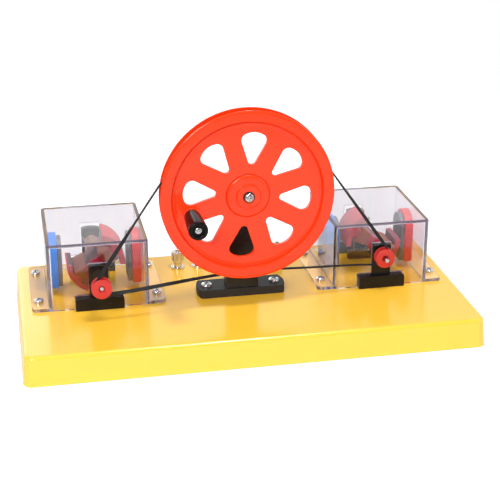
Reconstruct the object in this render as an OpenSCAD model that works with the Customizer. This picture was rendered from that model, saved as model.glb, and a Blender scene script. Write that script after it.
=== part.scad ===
// Demonstration dynamo: one hand wheel drives two small dynamos through two belts.
// X runs along the base, Y runs away from the crank, Z is up, and sizes are in millimetres.

/* [Base] */
// Length of the base tray over its lower edge
base_w = 406; // [396:2:440]
// Depth of the base tray over its lower edge
base_d = 204; // [200:2:224]
// Height of the tray's top above the table
base_h = 27; // [24:1:36]
// Thickness of the tray's sheet
sheet_t = 2; // [1.5:0.5:3]

/* [Hand wheel] */
// Radius of the wheel over its flanges
wheel_r = 77; // [74:0.5:80]
// Width of the wheel's rim
wheel_t = 12; // [11:0.5:14]
// Height of the wheel's axle above the table
axle_z = 132.6; // [128:0.2:140]
// Distance from the axle to the crank grip
crank_r = 52; // [50:1:56]
// Angle of the grip round the wheel at rest, from +X
crank_angle = 196; // [190:1:200]
// Length of the crank grip
grip_len = 37; // [28:1:40]

/* [Dynamo units] */
// Distance of each dynamo's shaft from the middle of the base
unit_x = 130.5; // [128:0.5:136]
// Depth position of the middle of each cover
unit_y = 38; // [34:1:42]
// Height of the dynamo shafts above the table
shaft_z = 59.2; // [58.8:0.2:59.6]
// Width of a cover without its flanges
cover_w = 90; // [88:1:96]
// Depth of a cover
cover_d = 100; // [98:1:104]
// Height of a cover above the base
cover_h = 62.5; // [62:0.5:66]
// Radius of the armature over its pole shoes
rotor_r = 26.5; // [24:0.5:26.5]
// Length of the armature's iron core
core_len = 27; // [25:1:28]
// Angle of the left armature's upper pole at rest, from +X
left_pole_angle = 36; // [0:1:60]
// Angle of the right armature's upper pole at rest, from +X
right_pole_angle = 145; // [120:1:180]
// Depth position of the middle of the left armature
left_core_y = 28; // [26:0.5:30]
// Depth position of the middle of the right armature
right_core_y = 31; // [29:0.5:33]

/* [Windings] */
// Turns in the coil on each pole
coil_turns = 7; // [5:1:7]
// Diameter of the coil's wire
wire_d = 1.1; // [0.9:0.1:1.1]

/* [Belts] */
// Width of each belt
belt_w = 3.6; // [3:0.1:3.8]
// Thickness of each belt
belt_t = 1.2; // [1:0.1:1.4]

/* [Hidden] */
$fn = 64;

gap = 0.3;               // free space between a belt and what it runs on
tiny = 0.01;             // overrun that keeps cuts clean

// base
rim_z = 0.8;             // lower edge of the tray above the table
tray_corner_r = 8;       // corner radius seen from above
tray_edge_r = 3;         // rounding of the top edges
draft = 2;               // how far the sides lean outwards towards the lower edge
foot_boss_r = 10;
foot_r = 8.5;
foot_pad_h = 4;
foot_screw_r = 1.5;
foot_screw_head_r = 2.8;
foot_x = base_w/2 - 22;
foot_y = base_d/2 - 22;
deck_z = base_h;         // what stands on the base stands here

// wheel
wheel_front = -37;       // front face of the rim
wheel_back = wheel_front + wheel_t;
wheel_mid = wheel_front + wheel_t/2;
flange_w = 1.4;
groove_r = 70;           // bottom of the belt groove
rim_in_r = 66;           // inner edge of the rim
web_front = wheel_front + 3;
web_t = 4;
boss_r = 18.7;
hub_r = 10.7;
hub_proud = 1.5;         // how far the hub stands out of the rim's face
axle_r = 3;
run_gap = 0.05;          // radial running clearance of shafts and spindles
bush_r = 5;
hole_in_r = 28.2;        // inner end of a web hole from the axle
hole_out_r = 57.2;       // outer end of a web hole from the axle
hole_tip_r = 3.4;
hole_corner_r = 6;
hole_corner_at = 49.8;   // how far out the corner rounding is centred
hole_half_w = 11.2;
hole_count = 8;
hole_turn = -96.3;       // angle of the hole nearest the stand

// crank
spindle_r = 2.5;
spindle_head_r = 3.6;
grip_back = wheel_front - 0.6;
grip_r_back = 7;
grip_r_front = 8.4;
grip_round = 1.6;

// stand
plate_w = 82;
plate_d = 26;
plate_h = 8;
plate_y = 2;
plate_end_r = 28.8;       // the plate's ends are wide arcs
plate_corner_r = 1.2;
post_w_low = 30;
post_w_top = 27;
post_t = 12;
post_front = -9;
nose_r = 9;              // boss that carries the axle towards the wheel
nose_front = wheel_back + 1;
stand_screw_x = 31.6;
stand_screw_y = 1;

// covers
wall = 3;
flange_out = 15;
flange_t = 3;
flange_corner_r = 5;
cover_corner_r = 3.5;
slot_w = 18.4;           // width of the opening round a bracket's upright
slot_h = 43;
foot_slot_w = 45.5;
foot_slot_h = 12.8;
cover_screw_x = cover_w/2 + 8.5;
cover_screw_y = 32.5;
screw_r = 2;             // 4 mm screws
screw_head_r = 4;
screw_head_h = 2.6;

// brackets and bearings
bracket_w = 17;
bracket_top = 41.8;      // above the deck
bracket_arch_r = 28;
bracket_foot_w = 43.5;
bracket_foot_h = 12;
bracket_foot_r = 2.5;
front_foot_y = [-17, -5];
front_post_y = [-13, -6];
rear_foot_y = [71, 83];
rear_post_y = [75, 82];
shaft_r = 2;
bearing_r = 4;
bearing_flange_r = 5.5;
bearing_flange_t = 1;
bracket_screw_x = 17;

// shafts and pulleys
shaft_len = 128;
left_shaft_front = -43.5;
right_shaft_front = -30.5;
pulley_r = 9;
pulley_t = 8;
pulley_wall = 1.2;
pulley_groove_r = 6.2;
pulley_recess_r = 2.9;   // dished face round the end of the shaft
pulley_recess = 2.4;
left_pulley_front = -45;
right_pulley_front = -25;

// armature, along its own axis with the middle of the core at zero
shoe_half_angle = 39;
shoe_t = 5;
web_w = 10;
hub_core_r = 6;
cheek_t = 2;
coil_gap = 0.5;          // free space between turns
coil_flare = 2.5;        // how much wider the last turn is than the first, on each side
coil_start_r = 7.6;      // first turn from the shaft
turn_rings = 24;         // rings in one turn of the coil, six to a quarter
sleeve_r = 5;
sleeve_from = 15.5;
sleeve_to = 39;
segment_r = 6.2;
segment_from = 18;
segment_to = 38;

// magnets
magnet_x = 41.9;         // outer face of a magnet from the shaft
magnet_t = 8;
magnet_d = 29;
magnet_z = 34;
magnet_h = 46;
magnet_round = 13;
ferrite_t = 4;
ferrite_inset = 3;
ferrite_lift = 0.6;       // lower edge above the magnet's

// brushes
brush_y = 58.5;          // middle of the brushes
brush_w = 5;
brush_t = 0.4;
block_w = 24;
block_d = 7;
block_h = 8;

// terminals
terminal_y = 66;
terminal_x = [29, 49];
terminal_r = 6.5;
stud_r = 2;
nut_lift = 0.1;          // the nuts stand this far off the terminals' collars

// belts
belt_out = belt_t/2;
wheel_belt_r = groove_r + gap + belt_out;
pulley_belt_r = pulley_groove_r + gap + belt_out;
left_belt_y = wheel_mid - belt_w/2 - 0.2;
right_belt_y = wheel_mid + belt_w/2 + 0.2;
wheel_arc_steps = 44;
pulley_arc_steps = 12;
run_steps = 9;
pulley_guide = 9;        // straight length beside the pulley
wheel_guide = 26;        // straight length beside the wheel's flanges

function unit_sign(side) = side == "left" ? -1 : 1;
function core_y(side) = side == "left" ? left_core_y : right_core_y;
function shaft_front(side) = side == "left" ? left_shaft_front : right_shaft_front;
function pole_angle(side) = side == "left" ? left_pole_angle : right_pole_angle;
function pulley_front(side) = side == "left" ? left_pulley_front : right_pulley_front;
function smooth(t) = t <= 0 ? 0 : t >= 1 ? 1 : t*t*(3 - 2*t);

// closed tube or band through sections that each hold the same number of points
module swept(sections, closed) {
    n = len(sections);
    k = len(sections[0]);
    points = [for (s = sections) each s];
    last = closed ? n : n - 1;
    sides = [for (i = [0 : last - 1], j = [0 : k - 1])
        let (a = i*k + j, b = i*k + (j + 1) % k, c = ((i + 1) % n)*k + j, d = ((i + 1) % n)*k + (j + 1) % k)
        each [[a, b, c], [b, d, c]]];
    caps = closed ? [] : concat(
        [for (j = [1 : k - 2]) [0, j + 1, j]],
        [for (j = [1 : k - 2]) [(n - 1)*k, (n - 1)*k + j, (n - 1)*k + j + 1]]);
    polyhedron(points = points, faces = concat(sides, caps), convexity = 6);
}

module along_y(from, to) {
    translate([0, to, 0]) rotate([90, 0, 0]) linear_extrude(height = to - from) children();
}

// a turned piece on the Y axis; its outline is [radius, place towards the front]
module turned_y() {
    rotate([90, 0, 0]) rotate_extrude() children();
}

module rod_y(r, from, to) {
    translate([0, to, 0]) rotate([90, 0, 0]) cylinder(r = r, h = to - from);
}

module round_rect(w, d, r) {
    square([w - 2*r, d], center = true);
    square([w, d - 2*r], center = true);
    for (x = [-1, 1], y = [-1, 1]) translate([x*(w/2 - r), y*(d/2 - r)]) circle(r);
}

module pan_screw(head_r, head_h, shank_r, shank_len) {
    difference() {
        union() {
            intersection() {
                translate([0, 0, head_h - head_r*1.6]) sphere(r = head_r*1.6);
                cylinder(r = head_r, h = head_h);
            }
            translate([0, 0, -shank_len]) cylinder(r = shank_r, h = shank_len + tiny);
        }
        for (a = [0, 90]) rotate(a)
            translate([-head_r*0.55, -head_r*0.12, head_h - head_h*0.45])
                cube([head_r*1.1, head_r*0.24, head_h]);
    }
}

// Base

// drafted block with rounded corners and top edges, standing on the height z = 0
module tray_body(w, d, h, corner, edge, lean) {
    hull() for (x = [-1, 1], y = [-1, 1]) {
        translate([x*(w/2 - corner), y*(d/2 - corner), 0]) cylinder(r = corner, h = 1, $fn = 32);
        translate([x*(w/2 - lean - corner), y*(d/2 - lean - corner), h - edge])
            rotate_extrude($fn = 32) union() {
                intersection() {
                    translate([corner - edge, 0]) circle(edge, $fn = 32);
                    square([corner, edge]);
                }
                square([corner - edge, edge]);
            }
    }
}

module base_tray() {
    color("gold") difference() {
        union() {
            difference() {
                translate([0, 0, rim_z])
                    tray_body(base_w, base_d, base_h - rim_z, tray_corner_r, tray_edge_r, draft);
                translate([0, 0, -0.2])
                    tray_body(base_w - 2*sheet_t, base_d - 2*sheet_t, base_h - sheet_t + 0.2,
                              tray_corner_r - sheet_t, tray_edge_r - sheet_t, draft);
            }
            for (x = [-1, 1], y = [-1, 1]) translate([x*foot_x, y*foot_y, foot_pad_h - 1])
                cylinder(r = foot_boss_r, h = base_h - sheet_t/2 - foot_pad_h + 1);
        }
        for (x = [-1, 1], y = [-1, 1]) translate([x*foot_x, y*foot_y, 0]) {
            cylinder(r = foot_r, h = foot_pad_h);
            cylinder(r = foot_screw_r, h = foot_pad_h + 10);
        }
        for (x = [-1, 1]) translate([x*stand_screw_x, stand_screw_y, 0]) cylinder(r = 2.5, h = base_h + 1);
        for (s = [-1, 1]) translate([s*unit_x, 0, 0]) {
            for (x = [-1, 1], y = [-1, 1])
                translate([x*cover_screw_x, unit_y + y*cover_screw_y, 0]) cylinder(r = screw_r, h = base_h + 1);
            for (x = [-1, 1], y = [front_foot_y, rear_foot_y])
                translate([x*bracket_screw_x, (y[0] + y[1])/2, 0]) cylinder(r = 1.5, h = base_h + 1);
            for (x = [-1, 1]) translate([x*block_w/2, brush_y, 0]) cylinder(r = lead_hole_r, h = base_h + 1);
        }
        for (s = [-1, 1], x = terminal_x)
            translate([s*x, terminal_y, 0]) cylinder(r = stud_r, h = base_h + 1);
    }
}

module rubber_feet() {
    color("dimgray") for (x = [-1, 1], y = [-1, 1]) translate([x*foot_x, y*foot_y, 0])
        rotate_extrude() polygon([
            [foot_screw_r, 2.2], [foot_screw_head_r + 0.4, 2.2], [foot_screw_head_r + 0.4, 0],
            [foot_r - 1, 0], [foot_r, 1], [foot_r, foot_pad_h], [foot_screw_r, foot_pad_h]]);
}

module foot_screws() {
    color("silver") for (x = [-1, 1], y = [-1, 1]) translate([x*foot_x, y*foot_y, 2.2])
        mirror([0, 0, 1]) pan_screw(foot_screw_head_r, 1.6, foot_screw_r, foot_pad_h + 6);
}

// Wheel stand and axle

// strip with bulging ends and small corner roundings
module plate_outline() {
    r = plate_end_r;
    end_x = plate_w/2 - r;
    c = plate_corner_r;
    // where a corner's rounding is centred, so that it touches both the long side and the end arc
    cy = plate_d/2 - c;
    cx = end_x + sqrt((r - c)*(r - c) - cy*cy);
    a = atan2(cy, cx - end_x);
    polygon(concat(
        arc_points(end_x, 0, r, -a, a, 16),
        arc_points(cx, cy, c, a, 90, 4),
        arc_points(-cx, cy, c, 90, 180 - a, 4),
        arc_points(-end_x, 0, r, 180 - a, 180 + a, 16),
        arc_points(-cx, -cy, c, 180 + a, 270, 4),
        arc_points(cx, -cy, c, 270, 360 - a, 4)));
}

module wheel_stand() {
    color([0.13, 0.13, 0.14]) difference() {
        union() {
            translate([0, plate_y, deck_z]) linear_extrude(height = plate_h) plate_outline();
            along_y(post_front, post_front + post_t) {
                polygon([[-post_w_low/2, deck_z + plate_h/2], [post_w_low/2, deck_z + plate_h/2],
                         [post_w_top/2, axle_z], [-post_w_top/2, axle_z]]);
                translate([0, axle_z]) circle(post_w_top/2);
            }
            translate([0, 0, axle_z]) rod_y(nose_r, nose_front, post_front + 1);
        }
        translate([0, 0, axle_z]) rod_y(axle_r, -60, 60);
        for (x = [-1, 1]) translate([x*stand_screw_x, stand_screw_y, 0]) cylinder(r = 2.5, h = 60);
    }
}

module stand_screws() {
    color("silver") for (x = [-1, 1]) translate([x*stand_screw_x, stand_screw_y, deck_z + plate_h]) {
        pan_screw(5, 3.2, 2.5, plate_h + 8);
        translate([0, 0, -plate_h - sheet_t - 4]) nut(4.2, 4, 2.5);
    }
}

// hexagon nut, its lower face at zero
module nut(r, h, bore_r) {
    difference() {
        cylinder(r = r, h = h, $fn = 6);
        translate([0, 0, -1]) cylinder(r = bore_r, h = h + 2);
    }
}

module axle() {
    color("lightgray") translate([0, 0, axle_z]) {
        rod_y(axle_r, axle_front, post_front + post_t + 6);
        translate([0, post_front + post_t + 4, 0]) rotate([90, 0, 0]) nut(5, 4, axle_r);
    }
}

module axle_collar() {
    color([0.2, 0.2, 0.2]) translate([0, 0, axle_z]) difference() {
        rod_y(bush_r, axle_front + 0.6, collar_back);
        rod_y(axle_r, -60, 60);
    }
}

axle_front = wheel_front - hub_proud - 1.8;
collar_back = wheel_front - hub_proud - 0.2;
lead_hole_r = 1.6;

// Hand wheel

// outline of one web hole: a small tip towards the axle and a wide rounded end
function arc_points(cx, cy, r, from, to, steps) =
    [for (i = [0 : steps]) let (a = from + (to - from)*i/steps) [cx + r*cos(a), cy + r*sin(a)]];

module hole_outline() {
    tip = hole_in_r + hole_tip_r;
    side = hole_half_w - hole_corner_r;
    reach = hole_out_r - hole_corner_r;
    // centre of the bulging outer edge, which meets both corner roundings smoothly
    bulge = (reach*reach - side*side - hole_corner_at*hole_corner_at)/(2*(reach - hole_corner_at));
    turn = atan2(hole_corner_at - bulge, side);
    spread = norm([side, hole_corner_at - tip]);
    lean = atan2(hole_corner_at - tip, side) - asin((hole_corner_r - hole_tip_r)/spread);
    polygon(concat(
        arc_points(side, hole_corner_at, hole_corner_r, lean - 90, turn, 8),
        arc_points(0, bulge, hole_out_r - bulge, turn, 180 - turn, 7),
        arc_points(-side, hole_corner_at, hole_corner_r, 180 - turn, 270 - lean, 8),
        arc_points(0, tip, hole_tip_r, 270 - lean, 270 + lean, 6)));
}

module wheel() {
    color([0.93, 0.28, 0.16]) translate([0, 0, axle_z]) difference() {
        union() {
            // rim with its flanges and groove, web, boss and hub
            turned_y() polygon([
                [bush_r, -wheel_back], [boss_r, -wheel_back], [boss_r, -web_front - web_t],
                [rim_in_r - 1, -web_front - web_t], [rim_in_r, -wheel_back],
                [wheel_r, -wheel_back], [wheel_r, -wheel_back + flange_w], [groove_r, -wheel_back + flange_w],
                [groove_r, -wheel_front - flange_w], [wheel_r, -wheel_front - flange_w], [wheel_r, -wheel_front],
                [rim_in_r, -wheel_front], [rim_in_r - 2, -web_front],
                [boss_r + 1, -web_front], [boss_r, -wheel_front - 1], [hub_r, -wheel_front - 1],
                [hub_r, -wheel_front + hub_proud], [bush_r, -wheel_front + hub_proud]]);
            rotate([0, -crank_angle, 0]) translate([crank_r, 0, 0]) rod_y(grip_r_back, wheel_front, web_front + web_t);
        }
        for (i = [0 : hole_count - 1])
            along_y(web_front - 5, web_front + web_t + 5)
                rotate(hole_turn - 90 + i*360/hole_count) hole_outline();
        rotate([0, -crank_angle, 0]) translate([crank_r, 0, 0]) rod_y(spindle_r, -60, 0);
    }
}

module wheel_bush() {
    color("goldenrod") translate([0, 0, axle_z]) difference() {
        rod_y(bush_r, wheel_front - hub_proud, wheel_back);
        rod_y(axle_r + run_gap, -60, 0);
    }
}

module at_crank() {
    translate([0, 0, axle_z]) rotate([0, -crank_angle, 0]) translate([crank_r, 0, 0]) children();
}

grip_front = grip_back - grip_len;

module grip_spindle() {
    color("silver") at_crank() {
        rod_y(spindle_r, grip_front + 2, web_front + web_t);
        rod_y(spindle_head_r, grip_front + 0.6, grip_front + 2.2);
        translate([0, web_front + web_t + 3, 0]) rotate([90, 0, 0]) nut(4.2, 3, spindle_r);
    }
}

module crank_grip() {
    color([0.08, 0.08, 0.08]) at_crank() difference() {
        turned_y() {
            difference() {
                polygon([[0, -grip_back], [grip_r_back - grip_round, -grip_back],
                         [grip_r_back, -grip_back + grip_round], [grip_r_front, -grip_front - grip_round],
                         [grip_r_front - grip_round, -grip_front], [0, -grip_front]]);
                square([spindle_r + run_gap*2, 200]);
            }
        }
        rod_y(spindle_head_r + 1, grip_front - 1, grip_front + 2.6);
    }
}

// Belts

// points of one belt's middle line as [x, y, z, angle of the outward side]
function belt_line(side) =
    let (s = unit_sign(side),
         dx = s*unit_x, dz = shaft_z - axle_z,
         reach = norm([dx, dz]),
         to_pulley = atan2(dz, dx),
         spread = acos((wheel_belt_r - pulley_belt_r)/reach),
         run_len = sqrt(reach*reach - pow(wheel_belt_r - pulley_belt_r, 2)),
         wy = side == "left" ? left_belt_y : right_belt_y,
         py = pulley_front(side) + pulley_t/2,
         a1 = to_pulley + spread, a2 = to_pulley + 360 - spread,
         b1 = to_pulley - spread, b2 = to_pulley + spread)
    concat(
        [for (i = [0 : wheel_arc_steps]) let (a = a1 + (a2 - a1)*i/wheel_arc_steps)
            [wheel_belt_r*cos(a), wy, axle_z + wheel_belt_r*sin(a), a]],
        [for (i = [1 : run_steps - 1]) belt_run(i/run_steps, a2, dx, wy, py, run_len)],
        [for (i = [0 : pulley_arc_steps]) let (a = b1 + (b2 - b1)*i/pulley_arc_steps)
            [dx + pulley_belt_r*cos(a), py, shaft_z + pulley_belt_r*sin(a), a]],
        [for (i = [run_steps - 1 : -1 : 1]) belt_run(i/run_steps, a1, dx, wy, py, run_len)]);

// a point of a straight run, t going from the wheel to the pulley
function belt_run(t, a, dx, wy, py, run_len) =
    let (s = t*run_len,
         y = wy + (py - wy)*smooth((s - wheel_guide)/(run_len - wheel_guide - pulley_guide)),
         r = wheel_belt_r + (pulley_belt_r - wheel_belt_r)*t)
    [dx*t + r*cos(a), y, axle_z + (shaft_z - axle_z)*t + r*sin(a), a];

module belt(side) {
    color([0.12, 0.12, 0.13]) swept([for (p = belt_line(side))
        let (c = cos(p[3]), d = sin(p[3])) [
            [p[0] - c*belt_out, p[1] - belt_w/2, p[2] - d*belt_out],
            [p[0] + c*belt_out, p[1] - belt_w/2, p[2] + d*belt_out],
            [p[0] + c*belt_out, p[1] + belt_w/2, p[2] + d*belt_out],
            [p[0] - c*belt_out, p[1] + belt_w/2, p[2] - d*belt_out]]], true);
}

// Dynamo units: what stands still

module at_unit(side) {
    translate([unit_sign(side)*unit_x, 0, 0]) children();
}

module cover(side) {
    color([0.85, 0.83, 0.88, 0.35]) at_unit(side) difference() {
        translate([0, unit_y, deck_z]) union() {
            linear_extrude(height = cover_h) round_rect(cover_w, cover_d, cover_corner_r);
            linear_extrude(height = flange_t)
                round_rect(cover_w + 2*flange_out, cover_d, flange_corner_r);
        }
        translate([0, unit_y, deck_z - 1]) linear_extrude(height = cover_h - wall + 1)
            round_rect(cover_w - 2*wall, cover_d - 2*wall, 1);
        translate([-slot_w/2, unit_y - cover_d, deck_z - 1]) cube([slot_w, 2*cover_d, slot_h + 1]);
        translate([-foot_slot_w/2, unit_y - cover_d, deck_z - 1]) cube([foot_slot_w, 2*cover_d, foot_slot_h + 1]);
        for (x = [-1, 1], y = [-1, 1])
            translate([x*cover_screw_x, unit_y + y*cover_screw_y, deck_z - 1]) cylinder(r = screw_r, h = flange_t + 2);
    }
}

module cover_screws(side) {
    color("silver") at_unit(side) for (x = [-1, 1], y = [-1, 1])
        translate([x*cover_screw_x, unit_y + y*cover_screw_y, deck_z + flange_t])
            pan_screw(screw_head_r, screw_head_h, screw_r, flange_t + sheet_t + 4);
}

// inverted T that carries a bearing
module bracket(side, foot_y, post_y) {
    color([0.1, 0.1, 0.1]) at_unit(side) difference() {
        union() {
            along_y(foot_y[0], foot_y[1]) translate([0, deck_z]) {
                translate([-bracket_foot_w/2, 0]) square([bracket_foot_w, bracket_foot_h - bracket_foot_r]);
                translate([-bracket_foot_w/2 + bracket_foot_r, 0])
                    square([bracket_foot_w - 2*bracket_foot_r, bracket_foot_h]);
                for (x = [-1, 1])
                    translate([x*(bracket_foot_w/2 - bracket_foot_r), bracket_foot_h - bracket_foot_r])
                        circle(bracket_foot_r);
            }
            along_y(post_y[0], post_y[1]) translate([0, deck_z]) intersection() {
                translate([-bracket_w/2, 1]) square([bracket_w, bracket_top]);
                translate([0, bracket_top - bracket_arch_r]) circle(bracket_arch_r);
            }
        }
        translate([0, 0, shaft_z]) rod_y(bearing_r, -60, 120);
        for (x = [-1, 1]) translate([x*bracket_screw_x, (foot_y[0] + foot_y[1])/2, 0])
            cylinder(r = 1.5, h = deck_z + bracket_foot_h - 3);
    }
}

module bushes(side) {
    color("darkgoldenrod") at_unit(side) translate([0, 0, shaft_z]) difference() {
        union() {
            rod_y(bearing_r, front_post_y[0], front_post_y[1]);
            rod_y(bearing_flange_r, front_post_y[0] - bearing_flange_t, front_post_y[0]);
            rod_y(bearing_r, rear_post_y[0], rear_post_y[1]);
            rod_y(bearing_flange_r, rear_post_y[0] - bearing_flange_t, rear_post_y[0]);
        }
        rod_y(shaft_r + run_gap, -60, 120);
    }
}

// screws that come up through the base into the brackets' feet
module bracket_screws() {
    color("silver") for (s = [-1, 1], x = [-1, 1], y = [front_foot_y, rear_foot_y])
        translate([s*unit_x + x*bracket_screw_x, (y[0] + y[1])/2, base_h - sheet_t])
            mirror([0, 0, 1]) pan_screw(2.8, 2, 1.5, sheet_t + bracket_foot_h - 5);
}

// slab with a rounded top seen along X, lower corner on the Y axis
module magnet_slab(t, d, h, r) {
    rotate([90, 0, 90]) linear_extrude(height = t) {
        translate([-d/2, 0]) square([d, h - r]);
        translate([-d/2 + r, 0]) square([d - 2*r, h]);
        for (x = [-1, 1]) translate([x*(d/2 - r), h - r]) circle(r);
    }
}

// the left magnet of each unit is blue and the right one is red
module magnet(side, way) {
    color(way < 0 ? "royalblue" : "tomato") at_unit(side)
        translate([way < 0 ? -magnet_x : magnet_x - magnet_t, unit_y, magnet_z])
            magnet_slab(magnet_t, magnet_d, magnet_h, magnet_round);
}

module ferrites(side) {
    color([0.25, 0.26, 0.27]) at_unit(side) for (way = [-1, 1])
        translate([way < 0 ? -magnet_x + magnet_t : magnet_x - magnet_t - ferrite_t, unit_y, magnet_z + ferrite_lift])
            magnet_slab(ferrite_t, magnet_d - 2*ferrite_inset, magnet_h - ferrite_lift - ferrite_inset,
                        magnet_round - ferrite_inset);
}

module brush_block(side) {
    color([0.35, 0.2, 0.12]) at_unit(side) difference() {
        translate([-block_w/2, brush_y - block_d/2, deck_z]) cube([block_w, block_d, block_h]);
        for (x = [-1, 1]) translate([x*block_w/2, brush_y, 0]) cylinder(r = lead_hole_r, h = 60);
    }
}

// two springy strips that rise from the block and lean on the commutator's sides
module brushes(side) {
    touch = segment_r + run_gap;
    color("peru") at_unit(side) for (x = [-1, 1]) mirror([x < 0 ? 1 : 0, 0, 0])
        along_y(brush_y - brush_w/2, brush_y + brush_w/2)
            polygon([[block_w/2 - 5, deck_z + block_h], [block_w/2 - 5 + brush_t, deck_z + block_h],
                     [touch + brush_t, shaft_z - 3], [touch + brush_t, shaft_z + 3],
                     [touch + 2 + brush_t, shaft_z + 7], [touch + 2, shaft_z + 7],
                     [touch, shaft_z + 3], [touch, shaft_z - 3]]);
}

module terminals(side) {
    color("lightgray") for (x = terminal_x) translate([unit_sign(side)*x, terminal_y, 0]) {
        translate([0, 0, deck_z]) cylinder(r = terminal_r, h = 2);
        translate([0, 0, deck_z]) cylinder(r = 4, h = 6);
        translate([0, 0, deck_z - sheet_t - 8]) cylinder(r = stud_r, h = sheet_t + 8 + 20);
        translate([0, 0, deck_z - sheet_t - 3]) nut(4, 3, stud_r);
    }
}

// knurled nut that clamps a wire, with running clearance on its stud
module terminal_nut(side, x) {
    color("lightgray") translate([unit_sign(side)*x, terminal_y, deck_z + 6 + nut_lift]) difference() {
        union() {
            cylinder(r = 4.5, h = 3);
            translate([0, 0, 3]) cylinder(r = 6, h = 8);
        }
        translate([0, 0, -1]) cylinder(r = stud_r + run_gap, h = 14);
    }
}

// Leads under the deck, from each brush down through the base and along to a terminal
lead_r = 0.9;
lead_z = deck_z - sheet_t - 5.5;
lead_sides = 8;

function lead_route(x_from, x_to, y_row) = [
    [x_from, brush_y, deck_z + 2], [x_from, brush_y, deck_z - sheet_t - 1],
    [x_from, brush_y + 1, lead_z + 1], [x_from, brush_y + 3, lead_z],
    [x_from, y_row - 3, lead_z], [x_from + sign(x_to - x_from), y_row - 1, lead_z],
    [x_from + 3*sign(x_to - x_from), y_row, lead_z], [x_to - 3*sign(x_to - x_from), y_row, lead_z],
    [x_to - sign(x_to - x_from), y_row - 1, lead_z], [x_to, y_row - 3, lead_z],
    [x_to, terminal_y + 2 + lead_r, lead_z]];

function unit_vector(v) = v/norm(v);

function tube_rings(route, r, k) = [for (i = [0 : len(route) - 1])
    let (a = route[max(i - 1, 0)], b = route[min(i + 1, len(route) - 1)],
         t = unit_vector(b - a),
         side_way = abs(t[0]) < 0.8 ? [1, 0, 0] : [0, 1, 0],
         u = unit_vector(cross(t, side_way)), v = cross(t, u))
    [for (j = [0 : k - 1]) route[i] + r*(cos(j*360/k)*u + sin(j*360/k)*v)]];

module red_lead(side) {
    s = unit_sign(side);
    color("firebrick")
        swept(tube_rings(lead_route(s*(unit_x - block_w/2), s*terminal_x[1], 78), lead_r, lead_sides), false);
}

module black_lead(side) {
    s = unit_sign(side);
    color("dimgray")
        swept(tube_rings(lead_route(s*(unit_x + block_w/2), s*terminal_x[0], 84), lead_r, lead_sides), false);
}

// Dynamo units: what turns

module at_rotor(side) {
    translate([unit_sign(side)*unit_x, core_y(side), shaft_z])
        rotate([0, -pole_angle(side), 0]) children();
}

module shaft(side) {
    color("lightgray") at_unit(side) translate([0, 0, shaft_z])
        rod_y(shaft_r, shaft_front(side), shaft_front(side) + shaft_len);
}

module pulley(side) {
    f = pulley_front(side);
    color("crimson") at_unit(side) translate([0, 0, shaft_z]) turned_y() polygon([
        [shaft_r, -f - pulley_recess], [pulley_recess_r, -f - pulley_recess], [pulley_recess_r, -f],
        [pulley_r - 0.5, -f], [pulley_r, -f - 0.5], [pulley_r, -f - pulley_wall],
        [pulley_groove_r, -f - pulley_wall], [pulley_groove_r, -f - pulley_t + pulley_wall],
        [pulley_r, -f - pulley_t + pulley_wall], [pulley_r, -f - pulley_t + 0.5],
        [pulley_r - 0.5, -f - pulley_t], [shaft_r, -f - pulley_t]]);
}

// iron section with two shoes joined by a web, the shoes' middle along X
module core_section(r) {
    difference() {
        circle(r);
        difference() {
            circle(r - shoe_t);
            square([2*r, web_w], center = true);
        }
        for (s = [-1, 1]) polygon([[0, 0],
            for (a = [shoe_half_angle : (180 - 2*shoe_half_angle)/4 : 181 - shoe_half_angle])
                s*2*r*[cos(a), sin(a)]]);
    }
    square([r, web_w], center = true);
    circle(hub_core_r);
}

module core(side) {
    color("firebrick") at_rotor(side) difference() {
        along_y(-core_len/2, core_len/2) core_section(rotor_r);
        rod_y(shaft_r, -60, 60);
    }
}

module cheeks(side) {
    color("red") at_rotor(side) for (s = [-1, 1]) difference() {
        along_y(s > 0 ? core_len/2 : -core_len/2 - cheek_t, s > 0 ? core_len/2 + cheek_t : -core_len/2)
            core_section(rotor_r);
        rod_y(shaft_r, -60, 60);
    }
}

// how far along each quarter turn its rings stand: four round the corner, two on the straight
coil_steps = [0, 0.02, 0.04, 0.06, 0.37, 0.69];
coil_corners = [[1, 1], [-1, 1], [-1, -1], [1, -1]];

// middle of the wire round one corner of the pole, the angle measured from the pole's length
function coil_spot(corner, a, out_l, out_w) =
    [corner[0]*(core_len/2 + cheek_t) + out_l*cos(a), corner[1]*web_w/2 + out_w*sin(a)];

// one coil round a pole, wound outwards along X as a single helix with round corners
function coil_point(ring) =
    let (quarter = floor(ring/6),
         step = ring - 6*quarter,
         turn = (quarter + coil_steps[step])/4,
         flare = coil_flare*turn/coil_turns,
         out_l = wire_d/2 + coil_gap/2 + flare/2,
         out_w = wire_d/2 + coil_gap/2 + flare,
         this = coil_corners[quarter % 4],
         next = coil_corners[(quarter + 1) % 4],
         a = 90*quarter + 30*min(step, 3),
         p = coil_spot(this, a, out_l, out_w),
         q = coil_spot(next, a, out_l, out_w),
         share = max(step - 3, 0)/3)
    [coil_start_r + turn*(wire_d + coil_gap), p[0]*(1 - share) + q[0]*share, p[1]*(1 - share) + q[1]*share];

module coil() {
    steps = coil_turns*turn_rings;
    centres = [for (i = [0 : steps]) coil_point(i)];
    swept([for (i = [0 : steps])
        let (a = centres[max(i - 1, 0)], b = centres[min(i + 1, steps)],
             t = unit_vector(b - a),
             v = unit_vector(cross(t, [1, 0, 0])), u = cross(v, t))
        [for (j = [0 : 5]) centres[i] + wire_d/2*(cos(j*60)*u + sin(j*60)*v)]], false);
}

module windings(side) {
    color("chocolate") at_rotor(side) for (turn = [0, 180]) rotate([0, turn, 0]) coil();
}

// least free space between a coil's turns, measured on points one turn apart
coil_free = min([for (i = [0 : turn_rings])
    min([for (j = [-3 : 3]) norm(coil_point(turn_rings + 3 + i + j) - coil_point(i + 3))])]) - wire_d;
echo(least_gap_between_turns = coil_free);

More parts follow.
